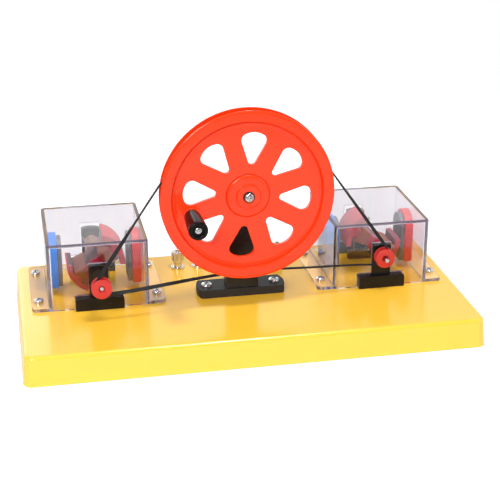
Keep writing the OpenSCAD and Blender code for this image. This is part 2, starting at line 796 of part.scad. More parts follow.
module commutator_sleeve(side) {
    color([0.5, 0.12, 0.15]) at_rotor(side) difference() {
        rod_y(sleeve_r, sleeve_from, sleeve_to);
        rod_y(shaft_r, -60, 60);
    }
}

module commutator_segments(side) {
    color("goldenrod") at_rotor(side) difference() {
        rod_y(segment_r, segment_from, segment_to);
        rod_y(sleeve_r, -60, 60);
        translate([-0.6, 0, -20]) cube([1.2, 60, 40]);
    }
}

base_tray();
rubber_feet();
foot_screws();
wheel_stand();
stand_screws();
axle();
axle_collar();
wheel();
wheel_bush();
grip_spindle();
crank_grip();
bracket_screws();
belt("left");  // left_belt
belt("right");  // right_belt
cover("left");  // left_cover
cover("right");  // right_cover
cover_screws("left");  // left_cover_screws
cover_screws("right");  // right_cover_screws
bracket("left", front_foot_y, front_post_y);  // left_front_bracket
bracket("right", front_foot_y, front_post_y);  // right_front_bracket
bracket("left", rear_foot_y, rear_post_y);  // left_rear_bracket
bracket("right", rear_foot_y, rear_post_y);  // right_rear_bracket
bushes("left");  // left_bushes
bushes("right");  // right_bushes
magnet("left", -1);  // left_blue_magnet
magnet("right", -1);  // right_blue_magnet
magnet("left", 1);  // left_red_magnet
magnet("right", 1);  // right_red_magnet
ferrites("left");  // left_ferrites
ferrites("right");  // right_ferrites
shaft("left");  // left_shaft
shaft("right");  // right_shaft
pulley("left");  // left_pulley
pulley("right");  // right_pulley
core("left");  // left_core
core("right");  // right_core
cheeks("left");  // left_cheeks
cheeks("right");  // right_cheeks
windings("left");  // left_windings
windings("right");  // right_windings
commutator_sleeve("left");  // left_commutator_sleeve
commutator_sleeve("right");  // right_commutator_sleeve
commutator_segments("left");  // left_commutator_segments
commutator_segments("right");  // right_commutator_segments
brush_block("left");  // left_brush_block
brush_block("right");  // right_brush_block
brushes("left");  // left_brushes
brushes("right");  // right_brushes
terminals("left");  // left_terminals
terminals("right");  // right_terminals
terminal_nut("left", terminal_x[0]);  // left_inner_nut
terminal_nut("left", terminal_x[1]);  // left_outer_nut
terminal_nut("right", terminal_x[0]);  // right_inner_nut
terminal_nut("right", terminal_x[1]);  // right_outer_nut
red_lead("left");  // left_red_lead
black_lead("left");  // left_black_lead
red_lead("right");  // right_red_lead
black_lead("right");  // right_black_lead
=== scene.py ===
from math import acos, asin, atan2, cos, degrees, hypot, pi, radians, sin, sqrt

import bpy
from mathutils import Matrix, Vector


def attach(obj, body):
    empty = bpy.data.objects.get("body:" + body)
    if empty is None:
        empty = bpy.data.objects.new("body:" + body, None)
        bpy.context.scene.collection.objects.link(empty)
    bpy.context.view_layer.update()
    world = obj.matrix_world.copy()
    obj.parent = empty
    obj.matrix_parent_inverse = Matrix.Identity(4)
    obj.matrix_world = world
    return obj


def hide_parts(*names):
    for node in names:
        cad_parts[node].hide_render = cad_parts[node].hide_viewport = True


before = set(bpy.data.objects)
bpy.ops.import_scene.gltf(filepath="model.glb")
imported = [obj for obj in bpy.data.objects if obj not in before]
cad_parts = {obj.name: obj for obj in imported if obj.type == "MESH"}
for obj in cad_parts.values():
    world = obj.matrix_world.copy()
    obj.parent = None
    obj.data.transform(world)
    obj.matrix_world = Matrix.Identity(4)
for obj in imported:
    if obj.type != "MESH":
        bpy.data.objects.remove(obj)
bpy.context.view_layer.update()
mm = 0.001
slack = 1e-6  # in metres, to tell places apart
sides = {"left": -1, "right": 1}
fourWays = [(x, y) for x in (-1, 1) for y in (-1, 1)]

# places that the pieces share, in millimetres, as in the CAD
layout = {"unitX": 130.5, "unitY": 38, "shaftZ": 59.2, "axleZ": 132.6, "deckZ": 27, "coverScrew": (53.5, 32.5),
          "wheelFront": -37, "wheelBack": -25, "crankRadius": 52, "crankAngle": 196,
          "pulleyFront": {"left": -45, "right": -25}, "coreY": {"left": 28, "right": 31},
          "poleAngle": {"left": 36, "right": 145}, "shaftFront": {"left": -43.5, "right": -30.5}}
deck, axleZ, shaftZ = layout["deckZ"], layout["axleZ"], layout["shaftZ"]
axle = (0, 0, axleZ)
unitX = {side: sign*layout["unitX"] for side, sign in sides.items()}


# Tools for the hand work below

def clearSelection():
    if bpy.context.object and bpy.context.object.mode != "OBJECT":
        bpy.ops.object.mode_set(mode="OBJECT")
    bpy.ops.object.select_all(action="DESELECT")


def nameIt(name):
    piece = bpy.context.object
    piece.name = name
    piece.data.name = name
    bpy.ops.object.transform_apply(location=True, rotation=True, scale=True)
    return piece


def choose(*pieces):
    clearSelection()
    for piece in pieces:
        piece.select_set(True)
    bpy.context.view_layer.objects.active = pieces[0]


def joinUp(name, pieces):
    choose(*pieces)
    bpy.ops.object.join()
    return nameIt(name)


def setAll(thing, settings):
    for key, value in settings.items():
        setattr(thing, key, value)


def applyModifier(piece, kind, **settings):
    choose(piece)
    change = piece.modifiers.new("change", kind)
    setAll(change, settings)
    bpy.ops.object.modifier_apply(modifier=change.name)


def editMode(picked="SELECT", kind="EDGE"):
    bpy.ops.object.mode_set(mode="EDIT")
    bpy.ops.mesh.select_mode(type=kind)
    bpy.ops.mesh.select_all(action=picked)


def objectMode():
    bpy.ops.object.mode_set(mode="OBJECT")


# back from edit mode, with all faces turned outwards
def faceOutwards():
    bpy.ops.mesh.select_all(action="SELECT")
    bpy.ops.mesh.normals_make_consistent(inside=False)
    objectMode()


# rounds the edges whose two ends are wanted
def roundEdges(piece, wanted, offset, segments):
    choose(piece)
    editMode("DESELECT")
    objectMode()
    spots = [v.co for v in piece.data.vertices]
    for edge in piece.data.edges:
        edge.select = wanted(spots[edge.vertices[0]], spots[edge.vertices[1]])
    bpy.ops.object.mode_set(mode="EDIT")
    bpy.ops.mesh.bevel(offset=offset*mm, segments=segments, affect="EDGES")
    objectMode()


def upright(a, b):
    return abs(a.z - b.z) > mm


def softenEdges(piece, width, segments=3, angle=32):
    applyModifier(piece, "BEVEL", width=width*mm, segments=segments, limit_method="ANGLE",
                  angle_limit=radians(angle))
    editMode()
    bpy.ops.mesh.dissolve_degenerate(threshold=0.0002*mm)  # faces without area, where two bevels meet
    objectMode()
    return piece


def addObject(data):
    piece = bpy.data.objects.new(data.name, data)
    bpy.context.scene.collection.objects.link(piece)
    choose(piece)
    return piece


def cutWith(piece, cutter, operation="DIFFERENCE"):
    applyModifier(piece, "BOOLEAN", operation=operation, object=cutter, solver="EXACT")
    bpy.data.objects.remove(cutter)


# block between two corners
def block(name, low, high):
    clearSelection()
    low, high = Vector(low), Vector(high)
    bpy.ops.mesh.primitive_cube_add(size=1, location=(low + high)/2*mm)
    bpy.ops.transform.resize(value=(high - low)*mm)
    return nameIt(name)


turns = {"y": (pi/2, 0, 0), "z": (0, 0, 0)}


def rod(name, radius, centre, length, way="y", steps=48):
    clearSelection()
    bpy.ops.mesh.primitive_cylinder_add(vertices=steps, radius=radius*mm, depth=length*mm,
                                        location=Vector(centre)*mm, rotation=turns[way])
    return nameIt(name)


# piece turned on a lathe: a ring of points is drawn out along the outline [radius, place]
def turned(name, outline, centre, way="y", steps=96):
    clearSelection()
    axis = Vector((0, 1, 0)) if way == "y" else Vector((0, 0, 1))
    centre = Vector(centre)
    bpy.ops.mesh.primitive_circle_add(vertices=steps, radius=outline[0][0]*mm, fill_type="NOTHING",
                                      location=(centre + axis*outline[0][1])*mm, rotation=turns[way])
    editMode()
    for (r0, p0), (r1, p1) in zip(outline, outline[1:]):
        bpy.ops.mesh.extrude_region_move(TRANSFORM_OT_translate={"value": axis*(p1 - p0)*mm})
        grow = Vector((1, 1, 1))*(r1/r0)
        bpy.ops.transform.resize(value=grow, center_override=(centre + axis*p1)*mm)
    bpy.ops.mesh.select_all(action="SELECT")
    bpy.ops.mesh.remove_doubles(threshold=slack)
    if outline[0] != outline[-1]:  # a solid piece is closed at its ends
        bpy.ops.mesh.select_all(action="DESELECT")
        bpy.ops.mesh.select_non_manifold()
        bpy.ops.mesh.fill_holes(sides=0)
    faceOutwards()
    return nameIt(name)


# plate cut to an outline: xz for one that faces front, yz sideways and xy upwards
def cutPlate(name, outline, start, end, plane="xz"):
    clearSelection()
    bpy.ops.mesh.primitive_circle_add(vertices=len(outline), radius=1, fill_type="NGON")
    sheet = bpy.context.object
    ways = {"xz": ((1, 0, 0), (0, 0, 1), (0, 1, 0)), "yz": ((0, 1, 0), (0, 0, 1), (1, 0, 0)),
            "xy": ((1, 0, 0), (0, 1, 0), (0, 0, 1))}
    across, up, out = (Vector(way)*mm for way in ways[plane])
    for v, (a, b) in zip(sheet.data.vertices, outline):
        v.co = across*a + up*b + out*start
    editMode()
    bpy.ops.mesh.extrude_region_move(TRANSFORM_OT_translate={"value": out*(end - start)})
    faceOutwards()
    return nameIt(name)


def arc(cx, cy, r, start, end, steps):
    spots = [radians(start + (end - start)*i/steps) for i in range(steps + 1)]
    return [(cx + r*cos(a), cy + r*sin(a)) for a in spots]


def onCircle(radius, angle):
    a = radians(angle)
    return radius*cos(a), radius*sin(a)


# an outline turned about its origin, which then moves to a centre
def turnPoints(points, angle, x0, z0):
    c, s = onCircle(1, angle)
    return [(x0 + x*c - z*s, z0 + x*s + z*c) for x, z in points]


# section of a plain ring, for the lathe
def ringSection(inner, outer, start, end):
    return [(inner, start), (outer, start), (outer, end), (inner, end), (inner, start)]


# upright rectangle with round upper corners
def roundedTop(middle, low, width, height, radius, steps):
    half, level = width/2, low + height - radius
    return ([(middle - half, low), (middle + half, low)]
            + arc(middle + half - radius, level, radius, 0, 90, steps)
            + arc(middle - half + radius, level, radius, 90, 180, steps))


# Finishes

def setInputs(node, values):
    for key, value in values.items():
        node.inputs[key].default_value = value


# for one tree: add makes a node, wire takes rows of a node, its output, the next node and its input
def toolsFor(tree):
    def add(kind, values=None, **settings):
        node = tree.nodes.new(kind)
        setAll(node, settings)
        setInputs(node, values or {})
        return node

    def wire(*rows):
        for source, output, target, socket in rows:
            tree.links.new(source.outputs[output], target.inputs[socket])

    return add, wire, tree.nodes


def newMaterial(name, values):
    material = bpy.data.materials.new(name)
    material.use_nodes = True
    add, wire, nodes = toolsFor(material.node_tree)
    setInputs(nodes["Principled BSDF"], values)
    return material, nodes["Principled BSDF"], nodes["Material Output"], add, wire


wearRange = (0.505, 0.56)  # pointiness where wear starts and where it is full


def finish(name, colour, rough, metal=0.0, coat=0.0, coatRough=0.05, vary=0.06, varyScale=60,
           grain=0.0, grainScale=900, smudge=0.05, worn=0.0, gloss=0.5, bend=1.5):
    material, shader, _, add, wire = newMaterial(name, {
        "Metallic": metal, "Coat Weight": coat, "Coat Roughness": coatRough, "Specular IOR Level": gloss, "IOR": bend})
    darker = tuple(c*(1 - vary) for c in colour) + (1,)
    lighter = tuple(min(1, c*(1 + vary) + vary*0.02) for c in colour) + (1,)
    spot = add("ShaderNodeTexCoord")
    cloud = add("ShaderNodeTexNoise", {"Scale": varyScale, "Detail": 3})
    shown = add("ShaderNodeMix", {"A": darker, "B": lighter}, data_type="RGBA")
    patchy = add("ShaderNodeTexNoise", {"Scale": varyScale*2.3})
    spread = add("ShaderNodeMapRange", {"To Min": max(0.02, rough - smudge), "To Max": rough + smudge})
    wire((spot, "Object", cloud, "Vector"), (cloud, "Fac", shown, "Factor"), (spot, "Object", patchy, "Vector"),
         (patchy, "Fac", spread, "Value"), (spread, "Result", shader, "Roughness"))
    if worn:
        edge = add("ShaderNodeNewGeometry")
        where = add("ShaderNodeMapRange", {"From Min": wearRange[0], "From Max": wearRange[1], "To Max": worn})
        bare = tuple(min(1, c*1.6 + 0.08) for c in colour) + (1,)
        rub = add("ShaderNodeMix", {"B": bare}, data_type="RGBA")
        wire((edge, "Pointiness", where, "Value"), (where, "Result", rub, "Factor"), (shown, "Result", rub, "A"))
        shown = rub
    wire((shown, "Result", shader, "Base Color"))
    if grain:
        fine = add("ShaderNodeTexNoise", {"Scale": grainScale, "Detail": 4})
        bump = add("ShaderNodeBump", {"Strength": grain, "Distance": 0.0002})
        wire((spot, "Object", fine, "Vector"), (fine, "Fac", bump, "Height"), (bump, "Normal", shader, "Normal"))
    return material


# clear acrylic: light from the lamps passes, and thick edges look lilac grey
clearCover = {"tint": (0.955, 0.935, 0.960), "edgeTint": (0.275, 0.185, 0.35), "edgeDepth": 13, "rough": 0.01,
              "bend": 1.49, "gloss": 0.35, "shade": (0.75, 0.735, 0.76)}


def acrylicFinish(name):
    a = clearCover
    material, shader, surface, add, wire = newMaterial(name, {
        "Base Color": a["tint"] + (1,), "Transmission Weight": 1, "IOR": a["bend"], "Roughness": a["rough"],
        "Specular IOR Level": a["gloss"]})
    thin = add("ShaderNodeBsdfTransparent", {"Color": a["shade"] + (1,)})
    depth = add("ShaderNodeVolumeAbsorption", {"Color": a["edgeTint"] + (1,), "Density": a["edgeDepth"]})
    rays = add("ShaderNodeLightPath")
    mix = add("ShaderNodeMixShader")
    wire((rays, "Is Shadow Ray", mix, "Fac"), (shader, "BSDF", mix, 1), (thin, "BSDF", mix, 2),
         (mix, "Shader", surface, "Surface"), (depth, "Volume", surface, "Volume"))
    return material


# armature iron: paint on the outer faces of the shoes, bare inside, and a thin dark line for each sheet
coreLook = {"paintFrom": 0.0252, "paintAll": 0.0257, "sheet": 0.8, "lines": 0.35}


def coreFinish(name, unit, paint, iron):
    material = finish(name, iron, 0.42, vary=0.25, varyScale=180)
    add, wire, nodes = toolsFor(material.node_tree)
    shader = nodes["Principled BSDF"]
    inner = shader.inputs["Base Color"].links[0].from_node
    spot = add("ShaderNodeTexCoord")
    centre = add("ShaderNodeMapping", {"Location": (-unitX[unit]*mm, 0, -shaftZ*mm)})
    flat = add("ShaderNodeVectorMath", {1: (1, 0, 1)}, operation="MULTIPLY")
    reach = add("ShaderNodeVectorMath", operation="LENGTH")
    outer = add("ShaderNodeMapRange", {"From Min": coreLook["paintFrom"], "From Max": coreLook["paintAll"]})
    over = add("ShaderNodeMix", {"B": paint + (1,)}, data_type="RGBA")
    part = add("ShaderNodeSeparateXYZ")
    wave = add("ShaderNodeMath", {1: coreLook["sheet"]*mm/2}, operation="PINGPONG")
    bump = add("ShaderNodeBump", {"Strength": coreLook["lines"], "Distance": 0.3})
    wire((inner, "Result", over, "A"), (spot, "Object", centre, "Vector"), (centre, "Vector", flat, 0),
         (flat, "Vector", reach, 0), (reach, "Value", outer, "Value"), (outer, "Result", over, "Factor"),
         (over, "Result", shader, "Base Color"), (spot, "Object", part, "Vector"), (part, "Y", wave, 0),
         (wave, "Value", bump, "Height"), (bump, "Normal", shader, "Normal"))
    return material


looks = {
    "tray": finish("trayYellow", (0.97, 0.55, 0.045), 0.20, vary=0.02, varyScale=9, grain=0.05, grainScale=260,
                   bend=1.68),
    "foot": finish("footRubber", (0.03, 0.03, 0.03), 0.75, grain=0.5, vary=0.2),
    "screw": finish("brightScrew", (0.72, 0.72, 0.74), 0.17, metal=1, vary=0.05, varyScale=300, grain=0.05, worn=0.2),
    "stand": finish("standBlack", (0.009, 0.008, 0.007), 0.46, vary=0.6, varyScale=260, grain=1.0, grainScale=750,
                    smudge=0.12, worn=0.22, gloss=0.25),
    "steel": finish("groundSteel", (0.52, 0.51, 0.52), 0.24, metal=1, varyScale=400, grain=0.1),
    "collar": finish("collarBlack", (0.012, 0.012, 0.012), 0.45, vary=0.2, grain=0.2, gloss=0.3),
    "wheel": finish("wheelRed", (0.88, 0.038, 0.003), 0.34, coat=0.5, coatRough=0.08, vary=0.03, varyScale=16,
                    grain=0.07, grainScale=420, worn=0.04, gloss=0.12),
    "bronze": finish("oiledBronze", (0.030, 0.021, 0.013), 0.4, metal=0.5, vary=0.3, varyScale=500, grain=0.4,
                     gloss=0.3),
    "grip": finish("gripBlack", (0.004, 0.003, 0.003), 0.26, vary=0.2, varyScale=50, grain=0.05, gloss=0.1),
    "belt": finish("beltRubber", (0.007, 0.007, 0.008), 0.55, vary=0.3, varyScale=300, grain=0.7, grainScale=1800,
                   gloss=0.2),
    "cover": acrylicFinish("clearAcrylic"),
    "edge": finish("sawnAcrylic", (0.42, 0.37, 0.50), 0.35, vary=0.10, varyScale=70, grain=0.3, grainScale=1600),
    # painted shade: an opaque dark lilac on the lid's rounded top edge stands in for how light darkens the thick
    # acrylic edge
    "lidEdge": finish("lidEdge", (0.215, 0.172, 0.235), 0.25, vary=0.12, varyScale=90, grain=0.15, grainScale=1600),
    "bracket": finish("bracketBlack", (0.005, 0.004, 0.004), 0.24, vary=0.25, varyScale=90, grain=0.15,
                      smudge=0.08, worn=0.04, gloss=0.24),
    "blue": finish("magnetBlue", (0.001, 0.205, 0.78), 0.40, varyScale=80, grain=0.1, worn=0.02, gloss=0.15),
    "red": finish("magnetRed", (0.70, 0.028, 0.035), 0.36, varyScale=80, grain=0.1, worn=0.05, gloss=0.3),
    "ferrite": finish("ferriteGrey", (0.12, 0.12, 0.13), 0.5, vary=0.25, varyScale=250, grain=0.5),
    "pulley": finish("pulleyRed", (0.50, 0.018, 0.012), 0.30, vary=0.05, varyScale=120, grain=0.08, worn=0.06),
    "cheek": finish("cheekRed", (0.40, 0.020, 0.040), 0.38, vary=0.08, varyScale=120, grain=0.15, worn=0.05),
    "sleeve": finish("sleeveCrimson", (0.30, 0.012, 0.03), 0.4, vary=0.12, grain=0.2),
    "segment": finish("segmentCopper", (0.40, 0.20, 0.11), 0.34, metal=0.85, vary=0.25, varyScale=300, grain=0.1),
    "brushBlock": finish("blockBrown", (0.11, 0.048, 0.022), 0.5, vary=0.3, varyScale=140, grain=0.4),
    "brush": finish("brushBronze", (0.50, 0.31, 0.15), 0.30, metal=1, vary=0.15, varyScale=300, grain=0.1),
    "terminal": finish("terminalNickel", (0.70, 0.69, 0.66), 0.18, metal=1, varyScale=250, grain=0.06),
    "copper": finish("copperWire", (0.40, 0.095, 0.045), 0.32, metal=0.7, vary=0.3, varyScale=350, coat=0.3),
    "leadRed": finish("leadRed", (0.60, 0.02, 0.02), 0.45, vary=0.1, grain=0.2),
    "leadBlack": finish("leadBlack", (0.02, 0.02, 0.02), 0.45, vary=0.2, grain=0.2),
    "coreLeft": coreFinish("coreLeft", "left", (0.62, 0.03, 0.035), (0.085, 0.05, 0.055)),
    "coreRight": coreFinish("coreRight", "right", (0.55, 0.025, 0.05), (0.16, 0.03, 0.05)),
}
print("finishes made:", len(looks))

# a slot is called as its finish, in lower case with underscores, except these
slots = {key: "".join("_" + c.lower() if c.isupper() else c for c in look.name) for key, look in looks.items()}
slots.update({"steel": "axle_steel", "bronze": "bearing_bronze", "segment": "segment_brass", "coreLeft": "core_red",
              "coreRight": "core_red"})


# smooths a piece and gives it its finish, its body and the node that it stands for
def place(piece, look, body, node, angle=35):
    if angle:
        choose(piece)
        bpy.ops.object.shade_smooth_by_angle(angle=radians(angle))
        applyModifier(piece, "WEIGHTED_NORMAL", keep_sharp=True)
    piece.data.materials.clear()
    piece.data.materials.append(looks[look])
    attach(piece, body)
    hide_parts(node)
    return piece


# Camera, floor and light

cameraSet = {"lens": 90.08, "sensor": 36, "spot": (-200.88, -1037.36, 498.46), "yaw": 11.425, "pitch": -22.158,
             "roll": 0.175}


def setCamera():
    yaw, pitch, roll = (radians(cameraSet[k]) for k in ("yaw", "pitch", "roll"))
    ahead = Vector((sin(yaw)*cos(pitch), cos(yaw)*cos(pitch), sin(pitch)))
    level = Vector((cos(yaw), -sin(yaw), 0))
    over = level.cross(ahead)
    right = level*cos(roll) + over*sin(roll)
    up = over*cos(roll) - level*sin(roll)
    clearSelection()
    bpy.ops.object.camera_add()
    camera = bpy.context.object
    camera.name = "photoCamera"
    camera.data.lens = cameraSet["lens"]
    camera.data.sensor_width = cameraSet["sensor"]
    camera.data.clip_end = 30
    turn = Matrix((right, up, -ahead)).transposed().to_4x4()
    camera.matrix_world = Matrix.Translation(Vector(cameraSet["spot"])*mm) @ turn
    bpy.context.scene.camera = camera


lamps = [  # name, place, aim, size, watts, colour
    ("keyLamp", (-0.75, -1.25, 1.0), (0, 0, 0.06), (0.6, 0.6), 23, (1.0, 0.99, 0.97)),
    ("topLamp", (0.2, -0.35, 1.5), (0, 0, 0), (0.3, 0.3), 11, (1.0, 1.0, 1.0)),
    ("sideLamp", (1.25, -0.85, 0.6), (0.05, 0, 0.06), (0.7, 0.7), 4, (0.98, 0.98, 1.0)),
    ("backLamp", (-0.5, 1.55, 0.42), (0, 0, 0.06), (0.9, 0.9), 4, (1.0, 0.99, 0.98)),
    ("trayLamp", (0, 0, 0.001), (0, 0, 1), (0.36, 0.16), 0.12, (1.0, 1.0, 1.0)),  # shows the underside from below
]
floorSet = {"shade": (0.86, 0.86, 0.87), "rough": 0.9, "gloss": 0.1, "lift": 0.5, "inGlass": 0.12, "inMirror": 0.04,
            "size": 12, "fade": (0.45, 1.1)}
worldSet = {"light": 0.36, "seen": 1.0, "frontToBack": (-0.55, 0.3), "mirrorFront": 0.22, "mirrorBack": 1.0,
            "upwards": (0.5, 0.8), "mirrorAbove": 0.6}


def setLamps():
    for name, spot, aim, size, watts, colour in lamps:
        clearSelection()
        bpy.ops.object.light_add(type="AREA", location=spot)
        lamp = bpy.context.object
        lamp.name = name
        lamp.data.shape = "RECTANGLE"
        lamp.data.size, lamp.data.size_y = size
        lamp.data.energy = watts
        lamp.data.color = colour
        lamp.rotation_euler = (Vector(aim) - Vector(spot)).to_track_quat("-Z", "Y").to_euler()


# strength by the kind of ray, the last one that fits counts; a strength is a number or a node with its output
def byRay(add, wire, level, choices):
    rays = add("ShaderNodeLightPath")
    direct = add("ShaderNodeMath", {1: 0.5}, operation="LESS_THAN")  # no matt surface on the way
    wire((rays, "Diffuse Depth", direct, 0))
    for ray, strength in choices:
        pick = add("ShaderNodeMix")
        both = add("ShaderNodeMath", operation="MULTIPLY")
        wire((rays, ray, both, 0), (direct, "Value", both, 1), (both, "Value", pick, "Factor"))
        for socket, value in (("A", level), ("B", strength)):
            if isinstance(value, tuple):
                wire((*value, pick, socket))
            else:
                pick.inputs[socket].default_value = value
        level = (pick, "Result")
    return level


# even change from one value to another between two places
def fadeBetween(add, places, values):
    return add("ShaderNodeMapRange", {"From Min": places[0], "From Max": places[1], "To Min": values[0],
                                      "To Max": values[1]}, interpolation_type="SMOOTHSTEP")


def setFloor():
    f = floorSet
    clearSelection()
    bpy.ops.mesh.primitive_plane_add(size=f["size"])
    floor = nameIt("paleFloor")
    material, shader, surface, add, wire = newMaterial("paleFloor", {
        "Base Color": f["shade"] + (1,), "Roughness": f["rough"], "Specular IOR Level": f["gloss"],
        "Emission Color": (1, 1, 1, 1)})
    lift = byRay(add, wire, 0, (("Is Glossy Ray", f["inMirror"]), ("Is Transmission Ray", f["inGlass"]),
                                ("Is Camera Ray", f["lift"])))
    # it fades into the white room, so there is no horizon, and from below it is looked through
    spot = add("ShaderNodeTexCoord")
    reach = add("ShaderNodeVectorMath", operation="LENGTH")
    fade = fadeBetween(add, f["fade"], (0, 1))
    under = add("ShaderNodeNewGeometry")
    gone = add("ShaderNodeMath", operation="MAXIMUM")
    clear = add("ShaderNodeBsdfTransparent")
    mix = add("ShaderNodeMixShader")
    wire((*lift, shader, "Emission Strength"), (spot, "Object", reach, 0), (reach, "Value", fade, "Value"),
         (fade, "Result", gone, 0), (under, "Backfacing", gone, 1), (gone, "Value", mix, "Fac"),
         (shader, "BSDF", mix, 1), (clear, "BSDF", mix, 2), (mix, "Shader", surface, "Surface"))
    floor.data.materials.append(material)


# white room, darker in mirrors that look to the front or straight up
def setWorld():
    w = worldSet
    world = bpy.data.worlds.new("studio")
    bpy.context.scene.world = world
    world.use_nodes = True
    add, wire, nodes = toolsFor(world.node_tree)
    sky = nodes["Background"]
    setInputs(sky, {"Color": (1, 1, 1, 1)})
    look = add("ShaderNodeTexCoord")
    part = add("ShaderNodeSeparateXYZ")
    mirror = fadeBetween(add, w["frontToBack"], (w["mirrorFront"], w["mirrorBack"]))
    overhead = fadeBetween(add, w["upwards"], (1, w["mirrorAbove"]))
    room = add("ShaderNodeMath", operation="MULTIPLY")
    wire((look, "Generated", part, "Vector"), (part, "Y", mirror, "Value"), (part, "Z", overhead, "Value"),
         (mirror, "Result", room, 0), (overhead, "Result", room, 1))
    level = byRay(add, wire, w["light"], (("Is Glossy Ray", (room, "Value")), ("Is Transmission Ray", w["seen"]),
                                          ("Is Camera Ray", w["seen"])))
    wire((*level, sky, "Strength"))


setCamera()
setLamps()
setFloor()
setWorld()
scene = bpy.context.scene
scene.view_settings.view_transform = "Standard"
scene.cycles.max_bounces = 24
scene.cycles.glossy_bounces = 16
scene.cycles.transmission_bounces = 24
print("camera, lamps and floor set")


# Base tray

# a boss is its hole's radius, its own, and its two levels
tray = {"bottom": (406, 204), "top": (402, 200), "lowEdge": 0.8, "height": 27, "corner": 8, "edge": 3.2,
        "wall": 2, "boss": (1.5, 10, 4, 25.4), "bosses": (181, 80)}


def makeTray():
    t = tray
    wide, deep, high = t["bottom"][0]/2, t["bottom"][1]/2, t["height"]
    piece = block("trayShell", (-wide, -deep, t["lowEdge"]), (wide, deep, high))
    for v in piece.data.vertices:
        if v.co.z > high*mm - slack:
            v.co.x *= t["top"][0]/t["bottom"][0]
            v.co.y *= t["top"][1]/t["bottom"][1]
    roundEdges(piece, upright, t["corner"], 10)
    roundEdges(piece, lambda a, b: min(a.z, b.z) > high*mm - slack, t["edge"], 8)
    editMode("DESELECT", "FACE")
    objectMode()
    for face in piece.data.polygons:
        face.select = face.normal.z < -0.9
    bpy.ops.object.mode_set(mode="EDIT")
    bpy.ops.mesh.delete(type="FACE")
    objectMode()
    applyModifier(piece, "SOLIDIFY", thickness=t["wall"]*mm, offset=-1)
    parts = [piece]
    for x, y in fourWays:
        spot = (x*t["bosses"][0], y*t["bosses"][1], 0)
        parts.append(turned("trayBoss", ringSection(*t["boss"]), spot, "z", 48))
    place(joinUp("base_tray_shell", parts), "tray", "stand", "base_tray", 30)


makeTray()
print("base tray made")


# Hand wheel

wheel = {"rim": 77, "groove": 70, "flange": 1.4, "inner": 67, "web": 4, "webIn": 3, "boss": 18.0, "hub": 10.7,
         "proud": 1.5, "bore": 5, "holes": 8, "firstHole": -96.3, "holeIn": 28.2, "holeOut": 57.2, "tip": 3.4,
         "corner": 6, "cornerAt": 49.8, "halfWidth": 11.2, "seat": (2.5, 7)}


# outline of one web hole: a small tip towards the axle and a wide rounded end
def holeOutline():
    w = wheel
    tip = w["holeIn"] + w["tip"]
    side = w["halfWidth"] - w["corner"]
    reach = w["holeOut"] - w["corner"]
    at = w["cornerAt"]
    bulge = (reach*reach - side*side - at*at)/(2*(reach - at))
    turn = degrees(atan2(at - bulge, side))
    spread = hypot(side, at - tip)
    lean = degrees(atan2(at - tip, side) - asin((w["corner"] - w["tip"])/spread))
    points = arc(side, at, w["corner"], lean - 90, turn, 10)
    points += arc(0, bulge, w["holeOut"] - bulge, turn, 180 - turn, 10)[1:-1]
    points += arc(-side, at, w["corner"], 180 - turn, 270 - lean, 10)
    return points + arc(0, tip, w["tip"], 270 - lean, 270 + lean, 8)


def makeWheel():
    w = wheel
    front, back = layout["wheelFront"], layout["wheelBack"]
    webFront = front + w["webIn"]
    webBack = webFront + w["web"]
    webMiddle = (webFront + webBack)/2
    outer, inner, boss, bore, flange = w["rim"], w["inner"], w["boss"], w["bore"], w["flange"]
    rim = turned("rim", [
        (inner - 3.2, webBack - 0.4), (inner - 1, back), (outer, back), (outer, back - flange),
        (w["groove"], back - flange), (w["groove"], front + flange), (outer, front + flange),
        *[(outer - 2.6 + 2.6*c, front + 1.25 - 1.25*s) for c, s in arc(0, 0, 1, 0, 90, 8)],
        (inner + 0.9, front), (inner + 0.3, front + 0.3), (inner - 0.1, front + 1.4), (inner - 0.7, front + 3.3),
        (inner - 1.1, front + 3.3), (inner - 1.6, front + 2.5), (inner - 2.6, front + 2.7),
        (inner - 4.4, webFront + 0.06), (inner - 4.6, webFront + 0.6), (inner - 3.2, webBack - 0.4)], axle, steps=160)
    softenEdges(rim, 0.3, 3, 25)
    shoulder = [(boss - 1.8 + 3*c, webFront - 0.1 - 1.9*s) for c, s in arc(0, 0, 1, 0, 90, 8)]
    crown = [(w["hub"] - 1.3 + 1.3*c, front - w["proud"] + 1.3 - 1.3*s) for c, s in arc(0, 0, 1, 0, 90, 6)]
    hub = turned("hub", [(bore, back), (boss, back), (boss + 3, webBack - 0.5), (boss + 3, webFront + 1.1),
                         (boss + 1.2, webFront + 1.1)] + shoulder
                 + [(w["hub"] + 0.9, front + 1), (w["hub"] + 0.2, front + 0.75)] + crown
                 + [(bore, front - w["proud"]), (bore, back)], axle)
    softenEdges(hub, 0.4, 3, 50)
    disc = rod("web", inner - 0.6, (0, webMiddle, axleZ), w["web"], steps=128)
    outline = holeOutline()
    cutters = []
    for i in range(w["holes"]):
        shape = turnPoints(outline, w["firstHole"] - 90 + i*360/w["holes"], 0, axleZ)
        cutters.append(cutPlate("hole", shape, webFront - 3, webBack + 3))
    cutters.append(rod("centreHole", boss + 1.5, (0, webMiddle, axleZ), 12, steps=64))
    cutWith(disc, joinUp("holes", cutters))
    softenEdges(disc, 0.45, 3, 50)
    across, up = onCircle(layout["crankRadius"], layout["crankAngle"])
    crank = (across, 0, axleZ + up)
    seat = turned("crankSeat", ringSection(*w["seat"], webBack, front), crank, steps=48)
    softenEdges(seat, 0.5)
    place(joinUp("hand_wheel", [rim, hub, disc, seat]), "wheel", "wheel", "wheel", 32)
    return crank


crankSpot = makeWheel()
print("wheel made")

# a slit and a nut are half the slit's length and width, and the nut's radius and height
gripSet = {"back": -37.6, "length": 37, "radiusBack": 7, "radiusFront": 8.4, "round": 1.8, "swell": 0.25,
           "bore": 2.6, "dish": 5.2, "dishDepth": 2.6, "slit": (5, 0.45), "nut": (4.2, 3)}


